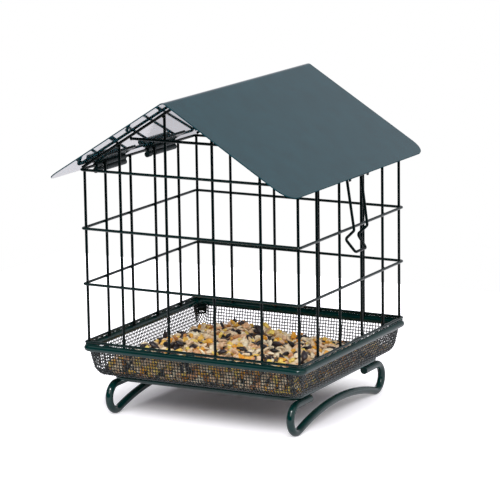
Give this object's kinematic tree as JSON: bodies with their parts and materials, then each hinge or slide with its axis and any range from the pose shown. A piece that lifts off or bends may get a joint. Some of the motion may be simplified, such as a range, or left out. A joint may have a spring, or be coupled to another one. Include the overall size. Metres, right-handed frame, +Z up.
{
  "type": "caged ground bird feeder",
  "caption": "Ground bird feeder: mesh seed tray on bent-rod feet, a wire cage that keeps large birds out, and a hinged folded-sheet roof with a wire latch.",
  "frame": {"origin": "on the floor, under the middle of the roof", "axes": "+X to the right along the front, +Y from front to back along the ridge, +Z up"},
  "size_m": [0.24, 0.27, 0.2944],
  "materials": {
    "wire_paint": "semi-gloss dark green coating",
    "roof_paint": "satin dark green coating",
    "mesh_paint": "semi-gloss dark green coating",
    "seed": "mixed dry seed"
  },
  "bodies": {
    "cage": {"back_bar_1": "wire_paint", "back_bar_2": "wire_paint", "back_bar_3": "wire_paint", "back_bar_4": "wire_paint", "back_rafter": "wire_paint", "back_tie": "wire_paint", "base_frame": "wire_paint", "bottom_ring": "wire_paint", "corner_post_back_left": "wire_paint", "corner_post_back_right": "wire_paint", "corner_post_front_left": "wire_paint", "corner_post_front_right": "wire_paint", "eave_ring": "wire_paint", "foot_left": "wire_paint", "foot_right": "wire_paint", "front_bar_1": "wire_paint", "front_bar_2": "wire_paint", "front_bar_3": "wire_paint", "front_bar_4": "wire_paint", "front_rafter": "wire_paint", "front_tie": "wire_paint", "left_bar_1": "wire_paint", "left_bar_2": "wire_paint", "left_bar_3": "wire_paint", "left_bar_4": "wire_paint", "lower_ring": "wire_paint", "right_bar_1": "wire_paint", "right_bar_2": "wire_paint", "right_bar_3": "wire_paint", "right_bar_4": "wire_paint", "seed_fill": "seed", "tack_weld_back": "wire_paint", "tack_weld_front": "wire_paint", "tack_weld_left": "wire_paint", "tack_weld_right": "wire_paint", "tray_mesh": "mesh_paint", "tray_rim": "wire_paint", "upper_ring": "wire_paint"},
    "roof": {"roof_panel": "roof_paint", "hinge_clip_front": "wire_paint", "hinge_clip_back": "wire_paint", "latch_bracket": "wire_paint"},
    "latch": {"latch_wire": "wire_paint"}
  },
  "joints": [
    {"name": "roof_hinge", "type": "hinge", "parent": "cage", "child": "roof", "pos_m": [-0.10755, 0, 0.2238], "axis": [0, -1, 0], "range_deg": [0, 60]},
    {"name": "latch_swing", "type": "hinge", "parent": "roof", "child": "latch", "pos_m": [0.11196, 0, 0.22104], "axis": [0, -1, 0], "range_deg": [0, 45]}
  ]
}
